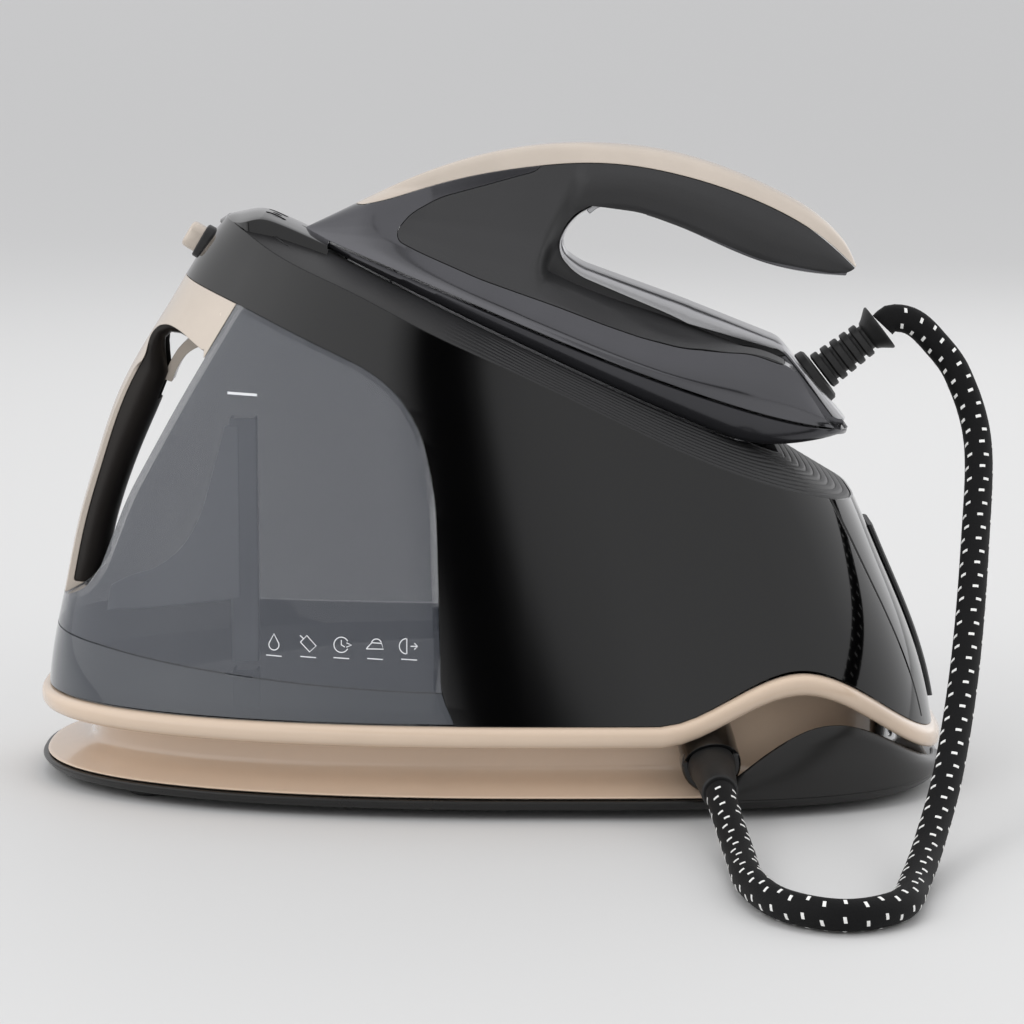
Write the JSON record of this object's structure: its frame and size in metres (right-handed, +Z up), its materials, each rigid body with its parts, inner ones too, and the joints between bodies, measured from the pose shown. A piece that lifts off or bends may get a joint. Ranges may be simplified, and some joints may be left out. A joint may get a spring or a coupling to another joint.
{
  "type": "steam generator iron",
  "caption": "Steam generator iron: a hand iron parked on a tilted rest plate over a boiler base, with a lift-off water tank, steam hose, power cord and push controls.",
  "frame": {"origin": "centre of the whole appliance's footprint, hose loop and cord included, at the level of the feet", "axes": "+Z up, +X towards the hose end (the heel of the iron), -X towards the water tank, -Y the side where the steam hose leaves the base"},
  "size_m": [0.428, 0.5723, 0.2826],
  "materials": {
    "gloss_black": "high gloss",
    "tank_grey": "translucent, glossy",
    "champagne": "satin metallic lacquer",
    "cream": "gloss",
    "grip_brown": "soft touch",
    "matte_grey": "fine matte grain",
    "gloss_grey": "gloss with a metallic tint",
    "silver": "satin",
    "rubber": "matte",
    "sole": "polished",
    "steel": "brushed",
    "brass": "machined",
    "circuit_green": "solder mask",
    "white_plastic": "moulded",
    "braid": "braided",
    "clear": "clear"
  },
  "bodies": {
    "base": {"base_hose_boot": "rubber", "base_pan": "matte_grey", "boiler": "steel", "boiler_heater": "steel", "boiler_saddle": "white_plastic", "control_board": "circuit_green", "cord_grommet": "rubber", "drain_collar": "brass", "foot_front_left": "rubber", "foot_front_right": "rubber", "foot_rear_left": "rubber", "foot_rear_right": "rubber", "heel_stop": "gloss_black", "hose_guard_left": "gloss_black", "hose_guard_right": "gloss_black", "hose_outlet": "gloss_black", "indicator_lens": "clear", "inner_chassis": "white_plastic", "iron_rest_plate": "matte_grey", "lower_housing": "cream", "main_housing": "gloss_black", "nose_cradle": "gloss_black", "power_cord": "rubber", "power_plug": "rubber", "rear_cover": "gloss_black", "sole_pad": "rubber", "solenoid_valve": "brass", "steam_hose": "braid", "steam_tube": "rubber", "tank_socket": "white_plastic", "tank_tray": "gloss_black", "water_pump": "matte_grey", "water_tube": "clear"},
    "tank": {"tank_shell": "tank_grey", "tank_bottom": "tank_grey", "tank_handle": "champagne", "handle_grip": "grip_brown", "intake_tube": "clear", "tank_inner_wall": "clear", "tank_valve": "rubber"},
    "tank_release": {"tank_release": "champagne"},
    "filler_flap": {"filler_flap": "tank_grey"},
    "iron": {"soleplate": "sole", "steam_chamber": "steel", "iron_skirt": "gloss_black", "iron_housing": "gloss_grey", "handle_shell": "matte_grey", "handle_cover": "champagne", "trigger_switch": "white_plastic", "opening_band": "silver", "iron_steam_pipe": "rubber", "iron_thermostat": "white_plastic", "boot_collar": "rubber", "iron_hose_boot": "rubber"},
    "steam_trigger": {"steam_trigger": "silver"},
    "lock_button": {"lock_button": "champagne"},
    "lock_latch": {"lock_latch": "steel"},
    "power_button": {"power_button": "gloss_grey"},
    "steam_level_button": {"steam_level_button": "gloss_grey"},
    "calc_cap": {"calc_cap": "gloss_black"}
  },
  "joints": [
    {"name": "iron_lift", "type": "slide", "parent": "base", "child": "iron", "axis": [0.4226, 0, 0.9063], "range_m": [0, 0.1], "deforming": ["steam_hose"]},
    {"name": "tank_slide", "type": "slide", "parent": "base", "child": "tank", "axis": [-1, 0, 0], "range_m": [0, 0.2]},
    {"name": "tank_release_pull", "type": "hinge", "parent": "tank", "child": "tank_release", "pos_m": [-0.1385, 0, 0.1965], "axis": [0, 1, 0], "range_deg": [0, 12]},
    {"name": "filler_flap_open", "type": "hinge", "parent": "tank", "child": "filler_flap", "pos_m": [-0.068, 0, 0.1894], "axis": [0, -1, 0], "range_deg": [0, 70]},
    {"name": "steam_trigger_pull", "type": "hinge", "parent": "iron", "child": "steam_trigger", "pos_m": [0.05799, 0, 0.25357], "axis": [0, 1, 0], "range_deg": [0, 6]},
    {"name": "lock_button_push", "type": "slide", "parent": "base", "child": "lock_button", "axis": [0.8601, 0, -0.5101], "range_m": [0, 0.004]},
    {"name": "lock_latch_draw", "type": "slide", "parent": "base", "child": "lock_latch", "axis": [1, 0, 0], "range_m": [0, 0.004]},
    {"name": "power_button_push", "type": "slide", "parent": "base", "child": "power_button", "axis": [-0.4226, 0, -0.9063], "range_m": [0, 0.0015]},
    {"name": "steam_level_button_push", "type": "slide", "parent": "base", "child": "steam_level_button", "axis": [-0.4226, 0, -0.9063], "range_m": [0, 0.0015]},
    {"name": "calc_cap_turn", "type": "hinge", "parent": "base", "child": "calc_cap", "pos_m": [0.158, 0, 0.052], "axis": [1, 0, 0], "range_deg": [0, 90]}
  ],
  "couplings": [
    {"joint": "lock_latch_draw", "follows": "lock_button_push", "ratio": 1}
  ]
}
